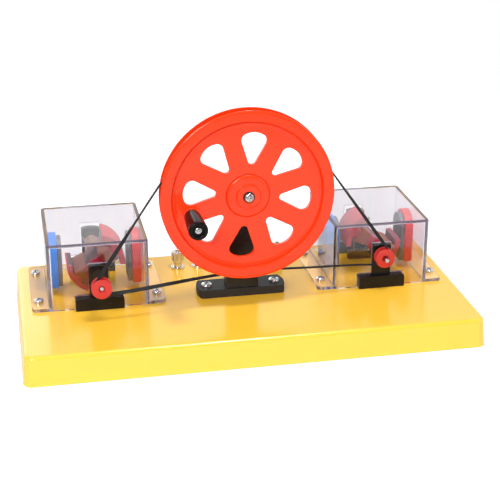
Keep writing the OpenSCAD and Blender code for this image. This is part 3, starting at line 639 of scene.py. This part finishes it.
def makeGrip():
    g = gripSet
    back, r, slim, thick, bore, dish = (g[k] for k in ("back", "round", "radiusBack", "radiusFront", "bore", "dish"))
    front = back - g["length"]
    floor = front + g["dishDepth"]
    outline = [(bore, back), (slim - r, back)]
    outline += [(slim - r + s, back - r + c) for c, s in (onCircle(r, d) for d in (30, 60, 90))]
    for i in range(1, 8):
        t = i/8
        swell = slim + (thick - slim)*t + g["swell"]*sin(pi*t)
        outline.append((swell, back - r - (g["length"] - 2*r)*t))
    outline += [(thick - r + c, front + r - s) for c, s in (onCircle(r, d) for d in (0, 30, 60, 90))]
    outline += [(dish + 0.5, front), (dish, front + 0.4), (dish - 0.4, floor), (bore, floor), (bore, back)]
    piece = turned("crank_grip_body", outline, crankSpot, steps=72)
    place(piece, "grip", "grip", "crank_grip", 40)
    head = turned("spindleHead", [(1.0, front + 0.8), (2.1, front + 0.95), (2.8, front + 1.4), (2.9, front + 2.2),
                                  (2.5, front + 2.3), (2.5, front + 36), (2.0, front + 41.5)], crankSpot, steps=48)
    x, z = crankSpot[0], crankSpot[2]
    long, wide = g["slit"]
    cutWith(head, block("slit", (x - long, front - 1, z - wide), (x + long, front + 1.3, z + wide)))
    radius, height = g["nut"]
    webBack = layout["wheelFront"] + wheel["webIn"] + wheel["web"]
    nut = softenEdges(rod("spindleNut", radius, (x, webBack + height/2, z), height, steps=6), 0.4, 2)
    place(joinUp("grip_spindle_set", [head, nut]), "steel", "wheel", "grip_spindle")


makeGrip()


# Stand and axle

standSet = {"plate": (82, 26, 8), "plateY": 2, "endRadius": 28.8, "postLow": 30, "postTop": 27, "front": -9,
            "back": 3, "nose": 9, "noseBore": 3.1, "noseFront": -24, "screwX": 31.6, "screwY": 1}


def makeStand():
    s = standSet
    w, d, h = s["plate"]
    r = s["endRadius"]
    middle = w/2 - r
    lean = degrees(asin(d/2/r))
    outline = [(x, s["plateY"] + y) for x, y in arc(middle, 0, r, -lean, lean, 18)
               + arc(-middle, 0, r, 180 - lean, 180 + lean, 18)]
    plate = softenEdges(cutPlate("plate", outline, deck, deck + h, "xy"), 0.9, 3, 40)
    half = s["postLow"]/2
    outline = [(-half, deck + 2), (half, deck + 2)] + arc(0, axleZ, s["postTop"]/2, 0, 180, 28)
    post = softenEdges(cutPlate("post", outline, s["front"], s["back"]), 0.8, 3, 40)
    radius, bore, start, end = s["nose"], s["noseBore"], s["front"] + 1, s["noseFront"]
    nose = turned("nose", [(radius, start), (radius, end), (bore, end), (bore, start), (radius, start)], axle, steps=64)
    softenEdges(nose, 0.5)
    place(joinUp("stand_body", [plate, post, nose]), "stand", "stand", "wheel_stand")


# radius and height of a head, radius and length of its shank; of a nut, radius and height
screwSet = {"cover": (4.2, 3.1, 2, 9), "stand": (5, 3.2, 2.5, 16), "nut": (4.2, 4), "coverLevel": 3.1}


def panScrew(name, kind, base):
    radius, height, shank, length = screwSet[kind]
    x, y, z = base
    dome = [(radius, z), (radius, z + height*0.35)]
    dome += [(radius*c, z + height*(0.35 + 0.65*s)) for c, s in (onCircle(1, a) for a in (20, 40, 60, 75))]
    head = turned(name, [(shank, z - length), (shank, z)] + dome, (x, y, 0), "z", 40)
    arm, width = radius*0.58, radius*0.13
    for a, b in ((arm, width), (width, arm)):
        cutWith(head, block("recess", (x - a, y - b, z + height*0.4), (x + a, y + b, z + height*2)))
    return head


# painted shade in the cross of each head: its inner faces take the black collar finish
def paintShadeInRecess(piece, kind, spots, base):
    radius, height = screwSet[kind][:2]
    # second slot: the black collar finish, painted shade for the faces inside the cross
    piece.data.materials.append(looks["collar"])
    for face in piece.data.polygons:
        at = face.center/mm
        near = min(hypot(at.x - x, at.y - y) for x, y in spots)
        level = (at.z - base)/height
        if near < radius*0.6 and 0.3 < level < 0.95 and (abs(face.normal.z) < 0.3 or level < 0.5):
            face.material_index = 1


def makeScrews():
    base = deck + screwSet["coverLevel"]
    apartX, apartY = layout["coverScrew"]
    first = panScrew("coverScrew", "cover", (0, 0, base))
    for side, sign in sides.items():
        parts, spots = [], []
        for i, (y, x) in enumerate(fourWays):
            shift = (unitX[side] + x*apartX, layout["unitY"] + y*apartY, 0)
            choose(first)
            bpy.ops.object.duplicate()
            bpy.ops.transform.translate(value=Vector(shift)*mm)
            parts.append(nameIt("screw"))
            spin = radians(25 + 37*i + 11*sign)
            bpy.ops.transform.rotate(value=spin, orient_axis="Z", center_override=Vector(shift)*mm)
            spots.append(shift[:2])
        piece = place(joinUp(f"{side}_cover_screw_set", parts), "screw", "stand", f"{side}_cover_screws")
        paintShadeInRecess(piece, "cover", spots, base)
    bpy.data.objects.remove(first)
    base = deck + standSet["plate"][2]
    radius, height = screwSet["nut"]
    parts, spots = [], [(x, standSet["screwY"]) for x in (-standSet["screwX"], standSet["screwX"])]
    for i, (x, y) in enumerate(spots):
        parts.append(panScrew("screw", "stand", (x, y, base)))
        bpy.ops.transform.rotate(value=0.5 + i*0.7, orient_axis="Z", center_override=Vector((x, y, deck))*mm)
        nut = rod("nut", radius, (x, y, deck - tray["wall"] - height/2), height, "z", 6)
        parts.append(softenEdges(nut, 0.4, 2))
    piece = place(joinUp("stand_screw_set", parts), "screw", "stand", "stand_screws")
    paintShadeInRecess(piece, "stand", spots, base)


def makeAxle():
    front = layout["wheelFront"] - wheel["proud"] - 1.8
    shaft = turned("axleShaft", [(1.6, front - 1.4), (2.6, front - 1.25), (3.4, front - 0.85), (4.0, front - 0.3),
                                 (4.2, front + 0.2), (4.2, front + 0.56), (3, front + 0.58), (3, 8.6), (2.6, 9)],
                   axle, steps=48)
    for wide, high in ((2.4, 0.5), (0.5, 2.4)):
        cutWith(shaft, block("slit", (-wide, front - 2, axleZ - high), (wide, front - 0.2, axleZ + high)))
    nut = softenEdges(rod("axleNut", 5, (0, 5, axleZ), 4, steps=6), 0.5, 2)
    place(joinUp("axle_set", [shaft, nut]), "steel", "stand", "axle")
    collar = turned("axle_collar_ring", ringSection(3.02, 5, front + 1.6, front + 0.6), axle, steps=64)
    place(softenEdges(collar, 0.3), "collar", "stand", "axle_collar")


makeStand()
makeScrews()
makeAxle()
print("stand, screws and axle made")


# Brackets and magnets of both units

bracketSet = {"width": 17, "top": 41.8, "arch": 28, "footWidth": 43.5, "footHeight": 12, "footRound": 2.5,
              "front": (-17, -5, -13, -6), "rear": (71, 83, 75, 82), "bore": 4}
magnetSet = {"outer": 41.9, "thick": 8, "deep": 29, "low": 34, "height": 46, "round": 13, "ferrite": 4, "inset": 3,
             "ferriteLift": 0.6}


def makeBracket(side, which):
    b = bracketSet
    x = unitX[side]
    footFront, footBack, postFront, postBack = b[which]
    outline = roundedTop(x, deck, b["footWidth"], b["footHeight"], b["footRound"], 6)
    foot = softenEdges(cutPlate("foot", outline, footFront, footBack), 0.6, 3, 40)
    half = b["width"]/2
    lean = degrees(asin(half/b["arch"]))
    outline = [(x - half, deck + 1), (x + half, deck + 1)]
    outline += arc(x, deck + b["top"] - b["arch"], b["arch"], 90 - lean, 90 + lean, 12)
    post = cutPlate("post", outline, postFront, postBack)
    cutWith(post, rod("bore", b["bore"], (x, (postFront + postBack)/2, shaftZ), 20, steps=40))
    softenEdges(post, 0.5, 3, 40)
    place(joinUp(f"{side}_{which}_bracket_body", [foot, post]), "bracket", "stand", f"{side}_{which}_bracket")


def makeMagnets(side):
    m = magnetSet
    x, y = unitX[side], layout["unitY"]
    inner = m["outer"] - m["thick"]
    for look, way in (("blue", -1), ("red", 1)):
        outline = roundedTop(y, m["low"], m["deep"], m["height"], m["round"], 14)
        slab = cutPlate(f"{side}_{look}_magnet_body", outline, x + way*m["outer"], x + way*inner, "yz")
        place(softenEdges(slab, 1.1, 4, 40), look, "stand", f"{side}_{look}_magnet")
    inset, lift = m["inset"], m["ferriteLift"]
    outline = roundedTop(y, m["low"] + lift, m["deep"] - 2*inset, m["height"] - lift - inset, m["round"] - inset, 14)
    parts = []
    for way in (-1, 1):
        slab = cutPlate("ferrite", outline, x + way*(inner + 0.02), x + way*(inner - m["ferrite"]), "yz")
        parts.append(softenEdges(slab, 0.5, 2, 40))
    place(joinUp(f"{side}_ferrite_pair", parts), "ferrite", "stand", f"{side}_ferrites")


for unit in sides:
    makeBracket(unit, "front")
    makeBracket(unit, "rear")
    makeMagnets(unit)
print("brackets and magnets made")


# Turning parts of both units

rotor = {"radius": 26.5, "shoe": 5, "halfAngle": 39, "web": 10, "hub": 6, "length": 27, "cheek": 2}


# section of the iron: two shoes joined by a web
def coreOutline(side):
    r, inner, half = rotor["radius"], rotor["radius"] - rotor["shoe"], rotor["halfAngle"]
    neck = degrees(asin(rotor["web"]/2/inner))
    waist = degrees(asin(rotor["web"]/2/rotor["hub"]))
    points = []
    for flip in (0, 180):
        points += arc(0, 0, r, flip - half, flip + half, 26)
        points += arc(0, 0, inner, flip + half, flip + neck, 8)
        points += arc(0, 0, rotor["hub"], flip + waist, flip + 180 - waist, 5)
        points += arc(0, 0, inner, flip + 180 - neck, flip + 180 - half, 8)
    return turnPoints(points, layout["poleAngle"][side], unitX[side], shaftZ)


def makeCore(side):
    y, half, cheek = layout["coreY"][side], rotor["length"]/2, rotor["cheek"]
    outline = coreOutline(side)
    core = softenEdges(cutPlate(f"{side}_core_stack", outline, y - half, y + half), 0.25, 2, 50)
    place(core, f"core{side.title()}", f"{side}_armature", f"{side}_core")
    cheeks = [cutPlate("cheek", outline, start, start + cheek) for start in (y - half - cheek, y + half)]
    for part in cheeks:
        softenEdges(part, 0.4, 3, 50)
    place(joinUp(f"{side}_cheek_pair", cheeks), "cheek", f"{side}_armature", f"{side}_cheeks")


coilSet = {"turns": 11, "wire": 0.92, "start": 7.5, "end": 19.0, "flare": 2.5, "clear": 0.45, "arcSteps": 6,
           "lineSteps": 3, "arcShare": 0.08}


# one pole's winding: a fine helix with round corners over the neck, wider towards the shoe
def coilPath(side, flip):
    c = coilSet
    corners = ((1, 1), (-1, 1), (-1, -1), (1, -1))
    steps = c["arcSteps"] + c["lineSteps"]
    points = []
    for i in range(c["turns"]*4*steps + 1):
        quarter, step = divmod(i, steps)
        onArc = min(step, c["arcSteps"])/c["arcSteps"]
        onLine = max(0, step - c["arcSteps"])/c["lineSteps"]
        t = (quarter + c["arcShare"]*onArc + (1 - c["arcShare"])*onLine)/(4*c["turns"])
        outLong = c["wire"]/2 + c["clear"] + c["flare"]/2*t
        outWide = c["wire"]/2 + c["clear"] + c["flare"]*t
        around, up = onCircle(1, 90*(quarter + onArc))
        spot = []
        for long, wide in (corners[quarter % 4], corners[(quarter + 1) % 4]):
            spot.append((long*(rotor["length"]/2 + rotor["cheek"]) + outLong*around,
                         wide*rotor["web"]/2 + outWide*up))
        along, across = (p + (q - p)*onLine for p, q in zip(*spot))
        out = c["start"] + (c["end"] - c["start"])*t
        (x, z), = turnPoints([(out, across)], layout["poleAngle"][side] + flip, unitX[side], shaftZ)
        points.append((x, layout["coreY"][side] + along, z))
    return points


# smooth round wire along a line of points
def wireOf(name, points, radius, rings):
    curve = bpy.data.curves.new(name, "CURVE")
    curve.dimensions = "3D"
    curve.bevel_depth = radius*mm
    curve.bevel_resolution = rings - 2
    curve.use_fill_caps = True
    line = curve.splines.new("POLY")
    line.points.add(len(points) - 1)
    for spot, p in zip(line.points, points):
        spot.co = tuple(Vector(p)*mm) + (1,)
    addObject(curve)
    bpy.ops.object.convert(target="MESH")
    bpy.ops.object.shade_smooth()
    return bpy.context.object


def makeWindings(side):
    parts = [wireOf("coil", coilPath(side, flip), coilSet["wire"]/2, 3) for flip in (0, 180)]
    place(joinUp(f"{side}_winding_pair", parts), "copper", f"{side}_armature", f"{side}_windings", None)


# sleeve and segments lie behind the middle of the core; bores are a little wider than the shaft
turnSet = {"shaft": 2, "shaftLength": 128, "bore": 2.02, "pulley": 9, "pulleyWidth": 8, "groove": 6.2, "recess": 2.9,
           "sleeve": (5, 15.5, 39), "segments": (5.02, 6.2, 18, 38), "gap": 0.6}


def makeShaftAndPulley(side):
    t = turnSet
    x, body = unitX[side], f"{side}_armature"
    middle = (x, 0, shaftZ)
    front, r, bore = layout["shaftFront"][side], t["shaft"], t["bore"]
    back = front + t["shaftLength"]
    shaft = turned(f"{side}_shaft_rod", [(r - 0.4, front), (r, front + 0.4), (r, back - 0.4), (r - 0.4, back)],
                   middle, steps=40)
    place(shaft, "steel", body, f"{side}_shaft")
    f, outer, groove, recess = layout["pulleyFront"][side], t["pulley"], t["groove"], t["recess"]
    back = f + t["pulleyWidth"]
    pulley = turned(f"{side}_pulley_body", [
        (bore, f + 2.4), (recess, f + 2.4), (recess, f), (outer, f), (outer, f + 1.2), (groove, f + 1.9),
        (groove, f + 6.1), (outer, f + 6.8), (outer, back), (bore, back), (bore, f + 2.4)], middle, steps=72)
    place(softenEdges(pulley, 0.4, 3, 30), "pulley", body, f"{side}_pulley")
    c = layout["coreY"][side]
    radius, start, end = t["sleeve"]
    sleeve = turned(f"{side}_sleeve_tube", ringSection(bore, radius, c + start, c + end), middle, steps=48)
    place(softenEdges(sleeve, 0.3, 2), "sleeve", body, f"{side}_commutator_sleeve")
    inner, radius, start, end = t["segments"]
    tube = turned(f"{side}_segment_pair", ringSection(inner, radius, c + start, c + end), middle, steps=36)
    cutWith(tube, block("slit", (x - t["gap"], c, shaftZ - 20), (x + t["gap"], c + 60, shaftZ + 20)))
    choose(tube)
    bpy.ops.transform.rotate(value=radians(layout["poleAngle"][side]), orient_axis="Y",
                             center_override=Vector((x, c, shaftZ))*mm)
    bpy.ops.object.transform_apply(location=False, rotation=True, scale=False)
    place(softenEdges(tube, 0.2, 2, 40), "segment", body, f"{side}_commutator_segments")


for unit in sides:
    makeCore(unit)
    makeWindings(unit)
    makeShaftAndPulley(unit)
print("armatures made")


# Belts: flat rubber bands that turn over on the way to the pulleys

beltSet = {"width": 3.6, "thick": 1.1, "corner": 0.3, "wheelRadius": 70.9, "pulleyRadius": 7.1, "wheelArc": 72,
           "pulleyArc": 20, "run": 26, "wheelGuide": 26, "pulleyGuide": 9, "onWheel": {"left": 4, "right": 8},
           "onPulley": 4, "twist": {"left": (76, -43), "right": (50, 8)}, "turned": 0.85,
           "turnFrom": {"left": (0.5, 0.02), "right": (0.0, 0.05)}}


# smooth step from 0 to 1
def soft(t):
    t = min(1, max(0, t))
    return t*t*(3 - 2*t)


# middle line of a belt, each point with the angle that it faces and how far the band is turned over
def beltLine(side):
    b = beltSet
    dx, dz = unitX[side], shaftZ - axleZ
    wheelR, pulleyR = b["wheelRadius"], b["pulleyRadius"]
    reach = hypot(dx, dz)
    toPulley = degrees(atan2(dz, dx))
    spread = degrees(acos((wheelR - pulleyR)/reach))
    runLength = sqrt(reach**2 - (wheelR - pulleyR)**2)
    wheelY = layout["wheelFront"] + b["onWheel"][side]
    pulleyY = layout["pulleyFront"][side] + b["onPulley"]
    upper, lower = zip(b["twist"][side], b["turnFrom"][side])

    def around(x, y, z, radius, start, span, steps):
        for i in range(steps + 1):
            a = start + span*i/steps
            c, s = onCircle(radius, a)
            yield x + c, y, z + s, a, 0

    def run(t, a, flip):
        s = t*runLength
        y = wheelY + (pulleyY - wheelY)*soft((s - b["wheelGuide"])/(runLength - b["wheelGuide"] - b["pulleyGuide"]))
        c, d = onCircle(wheelR + (pulleyR - wheelR)*t, a)
        tip = flip[0]*soft((t - flip[1])/(b["turned"] - flip[1]))*soft((runLength - s - 4)/9)
        return (dx*t + c, y, axleZ + dz*t + d, a, tip)

    first, last = toPulley + spread, toPulley + 360 - spread
    flipLast, flipFirst = (lower, upper) if side == "right" else (upper, lower)
    return [*around(0, wheelY, axleZ, wheelR, first, last - first, b["wheelArc"]),
            *(run(i/b["run"], last, flipLast) for i in range(1, b["run"])),
            *around(dx, pulleyY, shaftZ, pulleyR, toPulley - spread, 2*spread, b["pulleyArc"]),
            *(run(i/b["run"], first, flipFirst) for i in range(b["run"] - 1, 0, -1))]


def makeBelt(side):
    b = beltSet
    w, t, c = b["width"]/2, b["thick"]/2, b["corner"]
    section = [(-w + c, -t), (w - c, -t), (w, -t + c), (w, t - c), (w - c, t), (-w + c, t), (-w, t - c), (-w, -t + c)]
    line = beltLine(side)
    verts, faces = [], []
    k, n = len(section), len(line)
    across = Vector((0, 1, 0))
    for i, (x, y, z, a, tip) in enumerate(line):
        along, up = onCircle(1, a)
        outwards = Vector((along, 0, up))
        flat, tipped = onCircle(1, tip)
        wide, thick = across*flat + outwards*tipped, outwards*flat - across*tipped
        verts += [(Vector((x, y, z)) + wide*u + thick*v)*mm for u, v in section]
        near, far = i*k, (i + 1) % n*k
        faces += [(near + j, near + (j + 1) % k, far + (j + 1) % k, far + j) for j in range(k)]
    mesh = bpy.data.meshes.new(f"{side}_belt_band")
    mesh.from_pydata(verts, [], faces)
    band = addObject(mesh)
    bpy.ops.object.mode_set(mode="EDIT")
    faceOutwards()
    place(band, "belt", "stand", f"{side}_belt", 50)


for unit in sides:
    makeBelt(unit)
print("belts made")


# Clear covers

coverSet = {"width": 90, "depth": 100, "height": 62.5, "wall": 3, "corner": 3.5, "innerCorner": 1.2, "flange": 15,
            "flangeThick": 3, "flangeCorner": 5, "lift": 0.08, "lidEdge": 1.3, "edge": 0.35, "slot": (18.4, 43),
            "footSlot": (45.5, 12.8), "screwHole": 2.3}


def makeCover(side):
    c = coverSet
    x, y, low = unitX[side], layout["unitY"], deck + c["lift"]
    w, d, wall, top = c["width"]/2, c["depth"]/2, c["wall"], low + c["height"]
    shell = block(f"{side}_cover_shell", (x - w, y - d, low), (x + w, y + d, top))
    roundEdges(shell, upright, c["corner"], 8)
    reach = w + c["flange"]
    flange = block("flange", (x - reach, y - d, low), (x + reach, y + d, low + c["flangeThick"]))
    roundEdges(flange, upright, c["flangeCorner"], 8)
    cutWith(shell, flange, "UNION")
    inside = block("inside", (x - w + wall, y - d + wall, low - 1), (x + w - wall, y + d - wall, top - wall))
    roundEdges(inside, upright, c["innerCorner"], 4)
    cutWith(shell, inside)
    for wide, high in (c["slot"], c["footSlot"]):
        cutWith(shell, block("slot", (x - wide/2, y - 2*d, low - 1), (x + wide/2, y + 2*d, low + high)))
    apartX, apartY = layout["coverScrew"]
    for i, j in fourWays:
        cutWith(shell, rod("hole", c["screwHole"], (x + i*apartX, y + j*apartY, low), 10, "z", 32))
    roundEdges(shell, lambda a, b: min(a.z, b.z) > top*mm - slack, c["lidEdge"], 2)
    editMode("DESELECT")
    bpy.ops.mesh.edges_select_sharp(sharpness=radians(50))
    objectMode()
    for edge in shell.data.edges:
        if max(shell.data.vertices[v].co.z for v in edge.vertices) < low*mm + slack:
            edge.select = False  # the lower edges stay sharp on the base
    bpy.ops.object.mode_set(mode="EDIT")
    bpy.ops.mesh.bevel(offset=c["edge"]*mm, segments=3, affect="EDGES")
    objectMode()
    place(shell, "cover", "stand", f"{side}_cover")
    for look in ("edge", "lidEdge"):
        shell.data.materials.append(looks[look])
    half = c["slot"][0]/2 + 0.3
    for face in shell.data.polygons:
        middle = face.center/mm
        inSlot = x - half < middle.x < x + half and low + c["footSlot"][1] + 1 < middle.z < low + c["slot"][1] + 0.5
        # the lid's rounded top edge takes the dark lilac painted shade, the slot's faces the sawn finish
        if middle.z > top - c["lidEdge"] - 0.05 and 0.15 < face.normal.z < 0.96:
            face.material_index = 2
        elif inSlot and abs(face.normal.y) < 0.5:
            face.material_index = 1
    return shell


# a lamp seen in a lid would hide what is under it, so the lower lamps pass the covers by
passedBy = bpy.data.collections.new("passedByLamps")
for name in ("keyLamp", "sideLamp", "backLamp"):
    bpy.data.objects[name].light_linking.receiver_collection = passedBy
for unit in sides:
    passedBy.objects.link(makeCover(unit))
for member in passedBy.collection_objects:
    member.light_linking.link_state = "EXCLUDE"
print("covers made")


# Terminals, nuts and leads

terminalSet = {"x": (29, 49), "y": 66, "radius": 6.5, "stud": 2, "nut": (4, 3), "lift": 0.1, "knurl": 0.05}


def makeTerminals(side):
    t = terminalSet
    y, stud, wide = t["y"], t["stud"], t["radius"]
    radius, height = t["nut"]
    base = deck + 6 + t["lift"]
    parts = []
    for word, far in zip(("inner", "outer"), t["x"]):
        x = sides[side]*far
        post = turned("terminal", [
            (stud, deck - 10), (stud, deck), (wide, deck), (wide, deck + 2), (4, deck + 2), (4, deck + 6),
            (stud, deck + 6), (stud, deck + 19.5), (stud - 0.5, deck + 20)], (x, y, 0), "z", 48)
        parts.append(softenEdges(post, 0.3, 2))
        nut = rod("nut", radius, (x, y, deck - tray["wall"] - height/2), height, "z", 6)
        parts.append(softenEdges(nut, 0.4, 2))
        nut = turned(f"{side}_{word}_knurled_nut", [
            (2.05, base), (4.5, base), (4.5, base + 3), (6, base + 3), (6, base + 11), (2.05, base + 11), (2.05, base)],
            (x, y, 0), "z", 72)
        for v in nut.data.vertices:
            away = Vector((v.co.x - x*mm, v.co.y - y*mm, 0))
            if away.length > 5.9*mm and round(degrees(atan2(away.y, away.x))/5) % 2:
                v.co -= away*t["knurl"]
        softenEdges(nut, 0.2, 2, 40)
        place(nut, "terminal", f"{side}_{word}_terminal_nut", f"{side}_{word}_nut", 25)
    place(joinUp(f"{side}_terminal_pair", parts), "terminal", "stand", f"{side}_terminals")


leadSet = {"radius": 0.85, "level": 19.5, "Red": (-1, 1, 78), "Black": (1, 0, 84), "brushY": 58.5, "blockHalf": 12}


# down from the brush block, along a row under the deck and to a terminal
def leadPath(startX, endX, row):
    way = 1 if endX > startX else -1
    low, y = leadSet["level"], leadSet["brushY"]
    return [(startX, y, deck + 2), (startX, y, deck - 3), (startX, y + 1, low + 1), (startX, y + 3, low),
            (startX, row - 3, low), (startX + way, row - 1, low), (startX + 3*way, row, low),
            (endX - 3*way, row, low), (endX - way, row - 1, low), (endX, row - 3, low),
            (endX, terminalSet["y"] + 2 + leadSet["radius"], low)]


# a lead starts on one side of the block and ends at the inner or outer terminal
def makeLeads(side):
    sign = sides[side]
    for colour in ("Red", "Black"):
        far, end, row = leadSet[colour]
        start = sign*(layout["unitX"] + far*leadSet["blockHalf"])
        name = f"{side}_{colour.lower()}_lead"
        wire = wireOf(f"{name}_wire", leadPath(start, sign*terminalSet["x"][end], row), leadSet["radius"], 5)
        place(wire, f"lead{colour}", "stand", name, None)


for unit in sides:
    makeTerminals(unit)
    makeLeads(unit)
print("terminals and leads made")


# CAD parts that keep their shape and get a finish

kept = {"rubber_feet": "foot", "foot_screws": "screw", "bracket_screws": "screw", "wheel_bush": "bronze"}
for unit in sides:
    kept.update({f"{unit}_bushes": "bronze", f"{unit}_brush_block": "brushBlock", f"{unit}_brushes": "brush"})
for name, look in kept.items():
    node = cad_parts[name]
    node.data.materials.clear()
    node.data.materials.append(looks[look])
